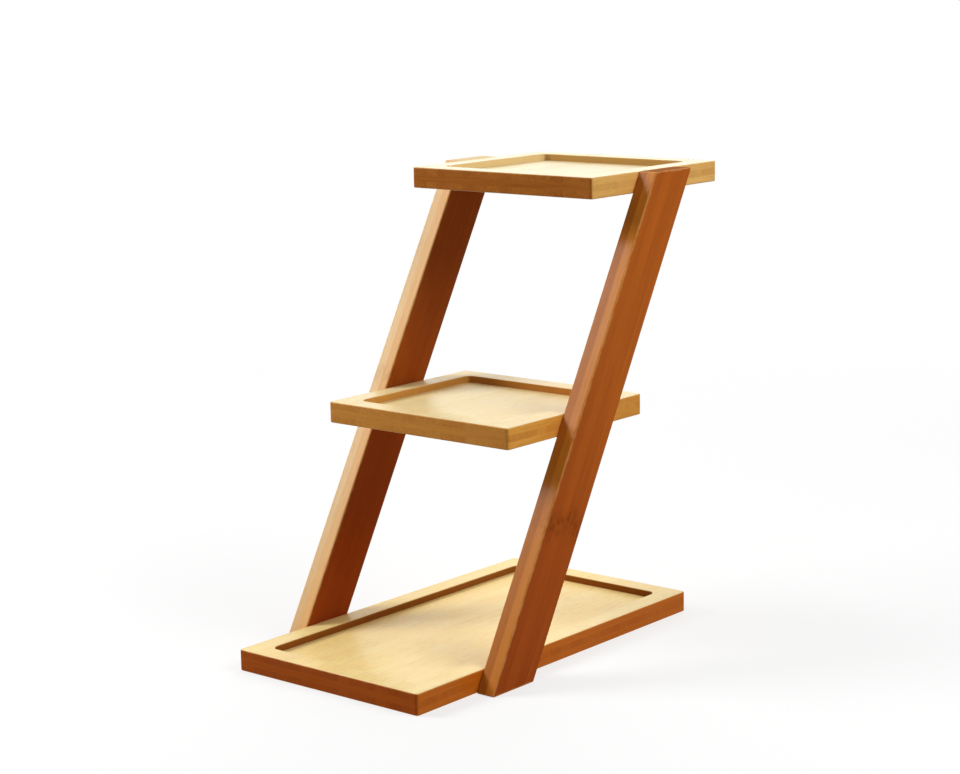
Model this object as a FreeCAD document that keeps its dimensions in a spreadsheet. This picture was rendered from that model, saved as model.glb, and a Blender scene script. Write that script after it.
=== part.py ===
"""Tiered plant stand of laminated bamboo: three routed trays carried by two leaning legs.

Frame: millimetres, +Z up, +X to the right, -Y towards the front. The origin is under the
middle of the stand's bounding box, on the surface that the stand rests on.
The long base tray lies flat. Both legs are boards that lean back as they rise, one against
each side of the trays, and each tray is held to each leg by two blind dowels.
"""
import FreeCAD, Part
import os

import Sketcher

# Driving dimensions in millimetres, apart from leg_lean in degrees and flute_count.
SIZES = {
    # trays
    "tray_width": 130.0,          # outside to outside, between the legs
    "tray_thickness": 12.0,
    "base_length": 240.0,         # front to back
    "upper_length": 120.0,        # front to back, middle and top tray
    "tier_pitch": 126.0,          # height from one tray to the next
    "rim": 12.5,                  # flat border round the routed recess
    "recess_depth": 4.0,
    "recess_corner": 5.0,         # inside corner radius that the router leaves
    "recess_edge": 0.4,           # easing of the recess's mouth
    "tray_corner": 2.0,           # radius of the four upright corners
    "tray_edge": 0.8,             # easing of the top and bottom outlines
    # legs
    "leg_width": 30.0,            # square to the leg's length
    "leg_thickness": 12.0,
    "leg_lean": 29.4,             # from upright, towards the back
    "leg_edge": 1.2,              # rounding of the four long edges
    "leg_end_edge": 0.6,          # easing round the foot and the top
    # how far behind each tray's front edge the legs' centre line crosses it
    "base_reach": 67.1,
    "middle_reach": 61.5,
    "top_reach": 57.3,
    # dowels
    "dowel_diameter": 6.0,
    "dowel_spacing": 18.0,        # between the two dowels of one joint
    "dowel_clearance": 0.05,      # all round, for the glue
    "dowel_end_gap": 0.5,         # room for glue past each end
    "dowel_chamfer": 0.6,
    "rim_skin": 1.0,              # wood left between a hole's end and the recess
    "leg_skin": 2.5,              # wood left between a hole's end and the leg's outer face
    "flute_radius": 0.5,
    "flute_count": 10,
}

# Places and lengths that follow from the driving dimensions.
LAYOUT = {
    "stand_height": "2 * Sizes.tier_pitch + Sizes.tray_thickness",
    "leg_slope": "tan(Sizes.leg_lean)",
    "leg_run": "Layout.leg_slope * Layout.stand_height",
    "leg_section": "Sizes.leg_width / cos(Sizes.leg_lean)",
    "middle_setback": "Sizes.base_reach + Layout.leg_slope * Sizes.tier_pitch - Sizes.middle_reach",
    "top_setback": "Sizes.base_reach + 2 * Layout.leg_slope * Sizes.tier_pitch - Sizes.top_reach",
    "stand_depth": "max(Sizes.base_length; Layout.top_setback + Sizes.upper_length)",
    "front": "-Layout.stand_depth / 2",
    "half_width": "Sizes.tray_width / 2",
    "half_thickness": "Sizes.tray_thickness / 2",
    "leg_foot": "Layout.front + Sizes.base_reach - Layout.leg_slope * Layout.half_thickness",
    "tray_hole": "Sizes.rim - Sizes.rim_skin",
    "leg_hole": "Sizes.leg_thickness - Sizes.leg_skin",
    "hole_diameter": "Sizes.dowel_diameter + 2 * Sizes.dowel_clearance",
    "dowel_length": "Layout.tray_hole + Layout.leg_hole - 2 * Sizes.dowel_end_gap",
    "dowel_centre": "Layout.half_width + (Layout.leg_hole - Layout.tray_hole) / 2",
}

# Each tray's name, length, setback of its front edge from the base tray's, and reach.
TIERS = (
    ("base", "Sizes.base_length", "0", "Sizes.base_reach"),
    ("middle", "Sizes.upper_length", "Layout.middle_setback", "Sizes.middle_reach"),
    ("top", "Sizes.upper_length", "Layout.top_setback", "Sizes.top_reach"),
)
SIDES = (("left", -1), ("right", 1))
# The two dowels of one joint, and which way each lies from the legs' centre line.
DOWEL_PAIR = (("front", "-"), ("back", "+"))

TOLERANCE = 1e-4

doc = FreeCAD.newDocument("PlantStand")


# ---------------------------------------------------------------- sheets and sketches
def make_sheet(name, cells):
    """A spreadsheet with one named value to a row."""
    sheet = doc.addObject("Spreadsheet::Sheet", name)
    for row, (alias, content) in enumerate(cells.items(), start=1):
        sheet.set(f"A{row}", alias)
        sheet.set(f"B{row}", content)
        sheet.setAlias(f"B{row}", alias)
    return sheet


sizes = make_sheet("Sizes", {alias: str(number) for alias, number in SIZES.items()})
layout = make_sheet("Layout", {alias: f"={formula}" for alias, formula in LAYOUT.items()})
doc.recompute()


def value(expression):
    """The number that an expression on the two sheets gives."""
    return float(layout.evalExpression(expression))


def new_body(name):
    body = doc.addObject("PartDesign::Body", name)
    body.Label = name
    return body


def origin_plane(body, role):
    return next(item for item in body.Origin.OriginFeatures if item.Role == role)


def new_sketch(body, name, role, offset="0"):
    """A sketch on one of the body's own origin planes, moved along the plane's normal."""
    sketch = body.newObject("Sketcher::SketchObject", f"{body.Name}_{name}")
    sketch.AttachmentSupport = [(origin_plane(body, role), "")]
    sketch.MapMode = "FlatFace"
    sketch.setExpression("AttachmentOffset.Base.z", offset)
    return sketch


def dimension(sketch, name, kind, where, expression):
    """A named constraint bound to an expression."""
    index = sketch.addConstraint(Sketcher.Constraint(kind, *where, value(expression)))
    sketch.renameConstraint(index, name)
    sketch.setExpression(f"Constraints.{name}", expression)


def add_outline(sketch, corners):
    """A closed outline of straight sides through corners given as pairs of expressions."""
    points = [FreeCAD.Vector(value(across), value(along), 0) for across, along in corners]
    for start, end in zip(points, points[1:] + points[:1]):
        sketch.addGeometry(Part.LineSegment(start, end), False)
    for side in range(len(points)):
        following = (side + 1) % len(points)
        sketch.addConstraint(Sketcher.Constraint("Coincident", side, 2, following, 1))


def add_rectangle(sketch, width, length):
    """A rectangle centred on the sketch's origin."""
    left, right = f"-({width}) / 2", f"({width}) / 2"
    front, back = f"-({length}) / 2", f"({length}) / 2"
    add_outline(sketch, ((left, front), (right, front), (right, back), (left, back)))
    for side, direction in enumerate(("Horizontal", "Vertical") * 2):
        sketch.addConstraint(Sketcher.Constraint(direction, side))
    sketch.addConstraint(Sketcher.Constraint("Symmetric", 0, 1, 1, 2, -1, 1))
    dimension(sketch, "width", "DistanceX", (0, 1, 0, 2), width)
    dimension(sketch, "length", "DistanceY", (1, 1, 1, 2), length)


def add_circle(sketch, name, across, along, diameter):
    centre = FreeCAD.Vector(value(across), value(along), 0)
    up = FreeCAD.Vector(0, 0, 1)
    circle = sketch.addGeometry(Part.Circle(centre, up, value(diameter) / 2), False)
    dimension(sketch, f"{name}_across", "DistanceX", (-1, 1, circle, 3), across)
    dimension(sketch, f"{name}_along", "DistanceY", (-1, 1, circle, 3), along)
    dimension(sketch, f"{name}_diameter", "Diameter", (circle,), diameter)


# ---------------------------------------------------------------- features
def pad(body, sketch, length, flipped=False, both_ways=False):
    feature = body.newObject("PartDesign::Pad", f"{sketch.Name}_pad")
    feature.Profile = sketch
    feature.setExpression("Length", length)
    feature.Reversed = flipped
    feature.Midplane = both_ways
    doc.recompute()
    return feature


def pocket(body, sketch, depth, flipped=False, both_ways=False):
    """Cut a sketch into the body, and make sure that wood was taken away."""
    volume_before = body.Shape.Volume
    feature = body.newObject("PartDesign::Pocket", f"{sketch.Name}_pocket")
    feature.Profile = sketch
    feature.setExpression("Length", depth)
    feature.Reversed = flipped
    feature.Midplane = both_ways
    doc.recompute()
    if feature.Shape.Volume > volume_before - TOLERANCE:
        raise RuntimeError(f"{feature.Name} cuts nothing")
    return feature


def mirror(body, feature, role):
    """Repeat a cut on the other side of one of the body's origin planes."""
    mirrored = body.newObject("PartDesign::Mirrored", f"{feature.Name}_mirror")
    mirrored.Originals = [feature]
    mirrored.MirrorPlane = (origin_plane(body, role), [""])
    body.Tip = mirrored
    doc.recompute()
    return mirrored


def dress_edges(body, kind, name, test, size_name, size):
    """A fillet or chamfer on every edge of the body's tip that passes the test."""
    base = body.Tip
    edges = [f"Edge{i}" for i, edge in enumerate(base.Shape.Edges, start=1) if test(edge)]
    feature = body.newObject(f"PartDesign::{kind}", f"{body.Name}_{name}")
    feature.Base = (base, edges)
    feature.setExpression(size_name, size)
    doc.recompute()
    return feature


def round_edges(body, name, test, radius):
    return dress_edges(body, "Fillet", name, test, "Radius", radius)


def is_upright(edge):
    box = edge.BoundBox
    return box.XLength < TOLERANCE and box.YLength < TOLERANCE


def is_level(edge):
    return edge.BoundBox.ZLength < TOLERANCE


# ---------------------------------------------------------------- places along the legs
def joint_height(tier):
    """Height of a tray's mid-thickness, where its dowels are."""
    return f"({tier} * Sizes.tier_pitch + Layout.half_thickness)"


def dowel_offset(sign):
    """Where a dowel lies, front or back of the legs' centre line."""
    return f"{sign} Sizes.dowel_spacing / 2"


# ---------------------------------------------------------------- trays
def is_in_recess(edge):
    """Whether an edge lies within the recess's outline, seen from above."""
    reach = value("Layout.half_width - Sizes.rim") + TOLERANCE
    return abs(edge.BoundBox.XMin) < reach and abs(edge.BoundBox.XMax) < reach


def make_tray(tier, name, length, setback, reach):
    """A board with eased outlines, a routed recess and dowel holes in both long sides."""
    body = new_body(f"{name}_tray")
    outline = new_sketch(body, "outline", "XY_Plane")
    add_rectangle(outline, "Sizes.tray_width", length)
    pad(body, outline, "Sizes.tray_thickness")
    round_edges(body, "corners", is_upright, "Sizes.tray_corner")
    round_edges(body, "edges", is_level, "Sizes.tray_edge")

    recess = new_sketch(body, "recess", "XY_Plane", "Sizes.tray_thickness")
    add_rectangle(recess, "Sizes.tray_width - 2 * Sizes.rim", f"{length} - 2 * Sizes.rim")
    pocket(body, recess, "Sizes.recess_depth")
    round_edges(body, "recess_corners", lambda edge: is_upright(edge) and is_in_recess(edge),
                "Sizes.recess_corner")
    top = value("Sizes.tray_thickness")
    round_edges(body, "recess_mouth",
                lambda edge: is_in_recess(edge) and edge.BoundBox.ZMin > top - TOLERANCE,
                "Sizes.recess_edge")

    holes = new_sketch(body, "dowel_holes", "YZ_Plane", "Layout.half_width")
    for place, sign in DOWEL_PAIR:
        across = f"{reach} - {length} / 2 {dowel_offset(sign)}"
        add_circle(holes, place, across, "Layout.half_thickness", "Layout.hole_diameter")
    right_holes = pocket(body, holes, "Layout.tray_hole")
    mirror(body, right_holes, "YZ_Plane")

    body.setExpression("Placement.Base.y", f"Layout.front + {setback} + {length} / 2")
    body.setExpression("Placement.Base.z", f"{tier} * Sizes.tier_pitch")
    return body


# ---------------------------------------------------------------- legs
def make_leg(name, side):
    """A leaning board, cut level at its foot and top, with dowel holes in its inner face.

    Its own origin is on the inner face, where its centre line meets the floor.
    """
    body = new_body(f"{name}_leg")
    profile = new_sketch(body, "profile", "YZ_Plane")
    half, run, height = "Layout.leg_section / 2", "Layout.leg_run", "Layout.stand_height"
    add_outline(profile, ((f"-{half}", "0"), (half, "0"),
                          (f"{run} + {half}", height), (f"{run} - {half}", height)))
    profile.addConstraint(Sketcher.Constraint("Horizontal", 0))
    profile.addConstraint(Sketcher.Constraint("Horizontal", 2))
    profile.addConstraint(Sketcher.Constraint("Equal", 0, 2))
    profile.addConstraint(Sketcher.Constraint("Symmetric", 0, 1, 0, 2, -1, 1))
    dimension(profile, "section", "DistanceX", (0, 1, 0, 2), "Layout.leg_section")
    dimension(profile, "run", "DistanceX", (1, 1, 1, 2), run)
    dimension(profile, "height", "DistanceY", (1, 1, 1, 2), height)
    pad(body, profile, "Sizes.leg_thickness", flipped=side < 0)
    round_edges(body, "long_edges", lambda edge: edge.BoundBox.ZLength > TOLERANCE,
                "Sizes.leg_edge")
    round_edges(body, "end_edges", is_level, "Sizes.leg_end_edge")

    holes = new_sketch(body, "dowel_holes", "YZ_Plane")
    for tier, (tray, _, _, _) in enumerate(TIERS):
        level = joint_height(tier)
        for place, sign in DOWEL_PAIR:
            across = f"Layout.leg_slope * {level} {dowel_offset(sign)}"
            add_circle(holes, f"{tray}_{place}", across, level, "Layout.hole_diameter")
    pocket(body, holes, "Layout.leg_hole", flipped=side > 0)

    body.setExpression("Placement.Base.x", f"{side} * Layout.half_width")
    body.setExpression("Placement.Base.y", "Layout.leg_foot")
    return body


# ---------------------------------------------------------------- dowels
def is_end_circle(edge):
    half = value("Layout.dowel_length / 2")
    box = edge.BoundBox
    return box.XLength < TOLERANCE and abs(abs(box.XMin) - half) < TOLERANCE


def make_dowel(tier, tray, side_name, side, place, sign):
    """A fluted dowel with chamfered ends, lying along X through the face between tray and leg."""
    body = new_body(f"{side_name}_{tray}_dowel_{place}")
    section = new_sketch(body, "section", "YZ_Plane")
    add_circle(section, "dowel", "0", "0", "Sizes.dowel_diameter")
    pad(body, section, "Layout.dowel_length", both_ways=True)
    dress_edges(body, "Chamfer", "ends", is_end_circle, "Size", "Sizes.dowel_chamfer")

    flute = new_sketch(body, "flute", "YZ_Plane")
    add_circle(flute, "flute", "0", "Sizes.dowel_diameter / 2", "2 * Sizes.flute_radius")
    cut = pocket(body, flute, "Layout.dowel_length", both_ways=True)
    ring = body.newObject("PartDesign::PolarPattern", f"{body.Name}_flutes")
    ring.Originals = [cut]
    ring.Axis = (flute, ["N_Axis"])
    ring.setExpression("Occurrences", "Sizes.flute_count")
    body.Tip = ring

    level = joint_height(tier)
    body.setExpression("Placement.Base.x", f"{side} * Layout.dowel_centre")
    body.setExpression("Placement.Base.y",
                       f"Layout.leg_foot + Layout.leg_slope * {level} {dowel_offset(sign)}")
    body.setExpression("Placement.Base.z", level)
    return body


# ---------------------------------------------------------------- the stand
trays = [make_tray(tier, *tray) for tier, tray in enumerate(TIERS)]
legs = [make_leg(name, side) for name, side in SIDES]
dowels = [
    make_dowel(tier, tray, side_name, side, place, sign)
    for tier, (tray, _, _, _) in enumerate(TIERS)
    for side_name, side in SIDES
    for place, sign in DOWEL_PAIR
]
pieces = trays + legs + dowels
doc.recompute()

for item in doc.Objects:
    if "Invalid" in item.State or "Error" in item.State:
        raise RuntimeError(f"{item.Name} failed: {item.State}")
for piece in pieces:
    if piece.Shape.isNull() or not piece.Shape.isValid() or len(piece.Shape.Solids) != 1:
        raise RuntimeError(f"{piece.Label} is not one sound solid")

os.makedirs("parts", exist_ok=True)
for piece in pieces:
    piece.Shape.exportStep(f"parts/{piece.Label}.step")
    box = piece.Shape.BoundBox
    print(f"{piece.Label:26s} volume {piece.Shape.Volume:10.1f}"
          f"  x {box.XMin:7.2f} {box.XMax:7.2f}"
          f"  y {box.YMin:7.2f} {box.YMax:7.2f}"
          f"  z {box.ZMin:7.2f} {box.ZMax:7.2f}")
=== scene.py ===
# %% [markdown]
# # A tiered plant stand in lacquered bamboo
#
# The real stand is three shallow trays between two leaning legs. Its solids come from the
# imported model, at their real size, so nothing is modelled twice. What this script adds is
# what the eye reads as bamboo: strips glued side by side, plies, knuckles, end grain, a
# film of lacquer, and a plain studio to see them in.

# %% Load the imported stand
import math

import bmesh
import bpy
from mathutils import Matrix, Vector


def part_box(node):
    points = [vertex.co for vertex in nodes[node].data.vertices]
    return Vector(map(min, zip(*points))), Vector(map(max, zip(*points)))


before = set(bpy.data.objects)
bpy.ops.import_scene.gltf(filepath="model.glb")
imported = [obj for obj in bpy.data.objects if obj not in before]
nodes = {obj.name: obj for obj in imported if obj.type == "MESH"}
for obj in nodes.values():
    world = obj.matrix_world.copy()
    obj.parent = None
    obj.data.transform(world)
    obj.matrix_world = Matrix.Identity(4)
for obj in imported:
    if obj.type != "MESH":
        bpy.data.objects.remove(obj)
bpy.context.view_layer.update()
MM = 0.001


# %% [markdown]
# ## Camera
#
# A camera can be placed by eye, by tracking an empty, or from the angles of the viewpoint.
# Angles are used here because they say what the picture shows: the stand is seen from its
# front right, from a little above, through a long lens that keeps upright edges upright.
# The lens is given by its focal length in pixels of the picture, which becomes millimetres
# once the width of the sensor is chosen.

# %% Place the camera
# The first two are in pixels, and the sensor's width is in mm.
PICTURE_WIDTH = 960
FOCAL_PIXELS = 2278.0
SENSOR_WIDTH = 36.0
VIEW_AZIMUTH = math.radians(39.97)
VIEW_ELEVATION = math.radians(10.69)
VIEW_ROLL = math.radians(-0.99)
# These are in metres.
VIEW_DISTANCE = 1.2823
VIEW_TARGET = Vector((0.0, -0.004, 0.1447))
NEAREST_SEEN = 0.05
FARTHEST_SEEN = 100.0


def place_camera():
    """Makes the camera that looks at the stand along the viewing angles."""
    lens = bpy.data.cameras.new("studio_camera")
    lens.sensor_width = SENSOR_WIDTH
    lens.lens = FOCAL_PIXELS * SENSOR_WIDTH / PICTURE_WIDTH
    lens.clip_start = NEAREST_SEEN
    lens.clip_end = FARTHEST_SEEN
    camera = bpy.data.objects.new("studio_camera", lens)
    bpy.context.scene.collection.objects.link(camera)
    around = Matrix.Rotation(VIEW_AZIMUTH, 4, "Z")
    raised = Matrix.Rotation(math.pi / 2 - VIEW_ELEVATION, 4, "X")
    turned = around @ raised @ Matrix.Rotation(VIEW_ROLL, 4, "Z")
    back = turned.to_3x3() @ Vector((0.0, 0.0, 1.0))
    camera.matrix_world = Matrix.Translation(VIEW_TARGET + VIEW_DISTANCE * back) @ turned
    bpy.context.scene.camera = camera
    return camera


camera = place_camera()
print("the lens is", round(camera.data.lens, 1), "mm, at", [round(c, 3) for c in camera.location])

# %% [markdown]
# ## Small helpers for node trees
#
# Every finish below is a tree of shader nodes. Typed out in full, each node takes three or
# four lines, which hides the idea of the tree. These helpers make one node each and return
# its output, so that a line of code reads like the sum that it stands for. The helpers
# after them make a node group, which is a tree that several materials share.


# %% Helpers that add one node
def plug(tree, value, socket):
    """Links a socket to the value where the value is an output, and otherwise sets it."""
    if isinstance(value, bpy.types.NodeSocket):
        tree.links.new(value, socket)
    else:
        socket.default_value = value


def maths(tree, operation, *values, clamp=False):
    """One Math node, such as ADD or ABSOLUTE."""
    made = tree.nodes.new("ShaderNodeMath")
    made.operation = operation
    made.use_clamp = clamp
    for value, socket in zip(values, made.inputs):
        plug(tree, value, socket)
    return made.outputs["Value"]


def vector_maths(tree, operation, *values, output="Vector"):
    """One Vector Math node. LENGTH and DOT_PRODUCT put out a Value."""
    made = tree.nodes.new("ShaderNodeVectorMath")
    made.operation = operation
    for value, socket in zip(values, made.inputs):
        plug(tree, value, socket)
    return made.outputs[output]


def separate(tree, vector):
    """The X, Y and Z of a vector."""
    made = tree.nodes.new("ShaderNodeSeparateXYZ")
    plug(tree, vector, made.inputs["Vector"])
    return made.outputs["X"], made.outputs["Y"], made.outputs["Z"]


def combine(tree, x, y, z):
    """A vector from its three parts."""
    made = tree.nodes.new("ShaderNodeCombineXYZ")
    for value, socket in zip((x, y, z), made.inputs):
        plug(tree, value, socket)
    return made.outputs["Vector"]


def ease(tree, value, start, end, low=0.0, high=1.0):
    """A smooth step: low where the value is at start, high where it is at end."""
    made = tree.nodes.new("ShaderNodeMapRange")
    made.interpolation_type = "SMOOTHSTEP"
    settings = {"Value": value, "From Min": start, "From Max": end, "To Min": low, "To Max": high}
    for name, given in settings.items():
        plug(tree, given, made.inputs[name])
    return made.outputs["Result"]


def swing(tree, value, width):
    """Turns a value between 0 and 1 into one that swings around 0, width from end to end."""
    return maths(tree, "MULTIPLY", maths(tree, "SUBTRACT", value, 0.5), width)


def mix(tree, factor, a, b, kind="RGBA", blend="MIX"):
    """A Mix node for colours, or for vectors or numbers."""
    made = tree.nodes.new("ShaderNodeMix")
    made.data_type = kind
    if kind == "RGBA":
        made.blend_type = blend
    enabled = [socket for socket in made.inputs if socket.enabled]
    for value, socket in zip((factor, a, b), enabled):
        plug(tree, value, socket)
    return next(socket for socket in made.outputs if socket.enabled)


def tinted(tree, colour, tint):
    """One colour multiplied by another, as a thin stain over wood."""
    return mix(tree, 1.0, colour, tint, blend="MULTIPLY")


# %% Helpers for node groups
def new_group(name, inputs, outputs):
    """An empty node group with the named sockets, and its input and output sockets."""
    group = bpy.data.node_groups.new(name, "ShaderNodeTree")
    for label, kind in inputs:
        group.interface.new_socket(label, in_out="INPUT", socket_type="NodeSocket" + kind)
    for label, kind in outputs:
        group.interface.new_socket(label, in_out="OUTPUT", socket_type="NodeSocket" + kind)
    arriving = group.nodes.new("NodeGroupInput")
    leaving = group.nodes.new("NodeGroupOutput")
    return group, arriving.outputs, leaving.inputs


def use_group(tree, group, **values):
    """Places a group in a tree. Half_Size=... fills the input named Half Size."""
    made = tree.nodes.new("ShaderNodeGroup")
    made.node_tree = group
    for name, value in values.items():
        plug(tree, value, made.inputs[name.replace("_", " ")])
    return made.outputs


# %% [markdown]
# ## Laminated bamboo
#
# A bamboo cane is too thin to saw planks from. It is split into strips, the strips are
# planed square and glued side by side into a ply, and plies are glued into a board. So a
# board shows strips that each have their own tone, thin glue lines between them, fine
# fibres and short dark flecks along the strip, and a brown knuckle where the cane had a
# joint. Across a cut end the same fibres show as dots.
#
# This could be painted on each face apart. It is built as one solid pattern in space
# instead, so that every face, rounded edge and recess wall cuts through the same strips,
# as it does in real wood.

# %% Strips and fibres
# Sizes in mm.
FIBRE_WIDTH = 0.5
FIBRE_LENGTH = 26.0
STREAK_WIDTH = 2.0
STREAK_LENGTH = 78.0
DRIFT_WIDTH = 34.0
DRIFT_LENGTH = 120.0
FLECK_WIDTH = 1.1
FLECK_LENGTH = 9.0
GLUE_LINE_WIDTH = 0.16
GLUE_LINE_WANDER = 0.5
WANDER_SIZE = (60.0, 45.0, 60.0)
STRIP_SHIFT = 900.0
PLY_SHIFT = 31.0
# Shares of a fleck's size, from its middle outwards.
FLECK_CORE = 0.16
FLECK_EDGE = 0.42
# Any number does here, as long as the knuckles have another.
STRIP_SEED = 3.0


def noise(tree, vector, scale=1.0, detail=2.0, roughness=0.5):
    """Smooth random values between 0 and 1."""
    made = tree.nodes.new("ShaderNodeTexNoise")
    plug(tree, vector, made.inputs["Vector"])
    for name, value in (("Scale", scale), ("Detail", detail), ("Roughness", roughness)):
        made.inputs[name].default_value = value
    return made.outputs["Fac"]


def random_number(tree, vector):
    """A random number between 0 and 1 that is the same wherever the vector is the same."""
    made = tree.nodes.new("ShaderNodeTexWhiteNoise")
    made.noise_dimensions = "3D"
    plug(tree, vector, made.inputs["Vector"])
    return made.outputs["Value"]


def stretched(tree, position, width, length):
    """Board coordinates scaled so that one unit is width across and length along the grain."""
    return vector_maths(tree, "DIVIDE", position, (width, length, width))


def lay_strips(tree, given):
    """The place along the board, the number of the strip, and how far its glue line is."""
    across, along, _ = separate(tree, given["Position"])
    wander = noise(tree, vector_maths(tree, "DIVIDE", given["Position"], WANDER_SIZE))
    across = maths(tree, "ADD", across, swing(tree, wander, GLUE_LINE_WANDER))
    place = maths(tree, "DIVIDE", across, given["Strip Width"])
    strip = maths(tree, "FLOOR", place)
    off_centre = maths(tree, "SUBTRACT", maths(tree, "FRACT", place), 0.5)
    to_edge = maths(tree, "SUBTRACT", 0.5, maths(tree, "ABSOLUTE", off_centre))
    return along, strip, maths(tree, "MULTIPLY", to_edge, given["Strip Width"])


def shift_pattern(tree, given, strip_random):
    """Moves the fibres of each strip and ply to another place, so that no two look alike."""
    along = maths(tree, "MULTIPLY", strip_random, STRIP_SHIFT)
    through = maths(tree, "MULTIPLY", given["Ply"], PLY_SHIFT)
    return vector_maths(tree, "ADD", given["Position"], combine(tree, 0.0, along, through))


def short_flecks(tree, shifted):
    """Dark dashes along the grain: 1 in the middle of a fleck, 0 outside it."""
    cells = tree.nodes.new("ShaderNodeTexVoronoi")
    plug(tree, stretched(tree, shifted, FLECK_WIDTH, FLECK_LENGTH), cells.inputs["Vector"])
    cells.inputs["Scale"].default_value = 1.0
    return ease(tree, cells.outputs["Distance"], FLECK_EDGE, FLECK_CORE)


print("a fibre is", FIBRE_WIDTH, "mm wide, and a fleck", FLECK_WIDTH, "mm")

# %% [markdown]
# ### Knuckles
#
# A cane has a joint every hand or two, and each strip that is split from it carries a brown
# mark there. A plain stripe across the board would look printed. So the stripe is bent by
# the fibres, moves a little from strip to strip, and is broken up by a mottle of small
# spots. The joints repeat at a fixed pitch, which costs one FRACT node and no loop.

# %% The knuckles of the cane
# Sizes in mm.
CANE_JOINT_PITCH = 235.0
KNUCKLE_REACH = 12.0
KNUCKLE_FRAY = 12.0
KNUCKLE_SPOT_WIDTH = 2.5
KNUCKLE_SPOT_LENGTH = 4.0
KNUCKLE_SEED = 11.0
# A spot is faintest where its noise is at the first of these, and full at the second.
MOTTLE_LOW = 0.38
MOTTLE_HIGH = 0.62
FAINTEST_SPOT = 0.3


def cane_knuckle(tree, given, strip, along, shifted, fibre):
    """How strongly a joint of the cane marks a point, from 0 to 1."""
    chance = random_number(tree, combine(tree, strip, given["Ply"], KNUCKLE_SEED))
    past_joint = maths(tree, "SUBTRACT", along, given["Joint Place"])
    pitches = maths(tree, "DIVIDE", past_joint, CANE_JOINT_PITCH)
    scattered = maths(tree, "ADD", pitches, swing(tree, chance, given["Joint Scatter"]))
    in_pitch = maths(tree, "FRACT", maths(tree, "ADD", scattered, 0.5))
    to_joint = maths(tree, "MULTIPLY", maths(tree, "SUBTRACT", in_pitch, 0.5), CANE_JOINT_PITCH)
    to_joint = maths(tree, "ADD", to_joint, swing(tree, fibre, KNUCKLE_FRAY))
    stripe = ease(tree, maths(tree, "ABSOLUTE", to_joint), KNUCKLE_REACH, 0.0)
    spots = noise(tree, stretched(tree, shifted, KNUCKLE_SPOT_WIDTH, KNUCKLE_SPOT_LENGTH), detail=2.0)
    mottle = ease(tree, spots, MOTTLE_LOW, MOTTLE_HIGH, FAINTEST_SPOT, 1.0)
    return maths(tree, "MULTIPLY", stripe, mottle)


print("the cane's joints are", CANE_JOINT_PITCH, "mm apart")

# %% [markdown]
# ### Colour and height
#
# The patterns add up to one tone, which runs between a pale and a deep colour. A board
# takes stain in its own way on its broad face, its side and its cut end, so each of them
# has a pair of colours, and the way that the surface faces picks the pair. Flecks, glue
# lines and knuckles are laid over the tone in a mark colour. The same patterns also give a
# height, because lacquer sinks a little into the soft places.
#
# All this is one node group, so a board only has to say where its strips are and how it
# is stained.

# %% The laminated bamboo group
# How squarely a surface faces an axis, from 0 to 1, where one stain turns into the next.
TURN_START = 0.55
TURN_END = 0.85
# Shares of the tone, then of the mark colour, then of the height.
END_CONTRAST = 0.3
DRIFT_TONE = 0.9
STREAK_TONE = 0.8
FIBRE_TONE = 0.8
FLECK_MARK = 0.16
GLUE_MARK = 0.22
FIBRE_HEIGHT = 0.6
FLECK_DEPTH = 0.35
GLUE_DEPTH = 0.3
KNUCKLE_HEIGHT = 0.3

BAMBOO_INPUTS = [
    ("Position", "Vector"),
    ("Facing", "Vector"),
    ("Ply", "Float"),
    ("Strip Width", "Float"),
    ("Strip Contrast", "Float"),
    ("Joint Place", "Float"),
    ("Joint Scatter", "Float"),
    ("Face Pale", "Color"),
    ("Face Deep", "Color"),
    ("Side Pale", "Color"),
    ("Side Deep", "Color"),
    ("End Pale", "Color"),
    ("End Deep", "Color"),
    ("Mark Color", "Color"),
    ("Marks", "Float"),
    ("Knuckles", "Float"),
]
BAMBOO_OUTPUTS = [("Color", "Color"), ("Height", "Float")]


def board_tone(tree, strip_tone, end, drift, streak, fibre):
    """How deep the colour is, from 0 to 1. The strips differ less across a cut end."""
    contrast = ease(tree, end, 0.0, 1.0, 1.0, END_CONTRAST)
    tone = maths(tree, "ADD", 0.5, maths(tree, "MULTIPLY", strip_tone, contrast))
    tone = maths(tree, "ADD", tone, swing(tree, drift, DRIFT_TONE))
    tone = maths(tree, "ADD", tone, swing(tree, streak, STREAK_TONE))
    return maths(tree, "ADD", tone, swing(tree, fibre, FIBRE_TONE), clamp=True)


def stain_at(tree, given, tone, face, end):
    """The stain of the broad face, the side or the cut end, at a tone."""
    on_face = mix(tree, tone, given["Face Pale"], given["Face Deep"])
    on_side = mix(tree, tone, given["Side Pale"], given["Side Deep"])
    on_end = mix(tree, tone, given["End Pale"], given["End Deep"])
    return mix(tree, end, mix(tree, face, on_side, on_face), on_end)


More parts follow.
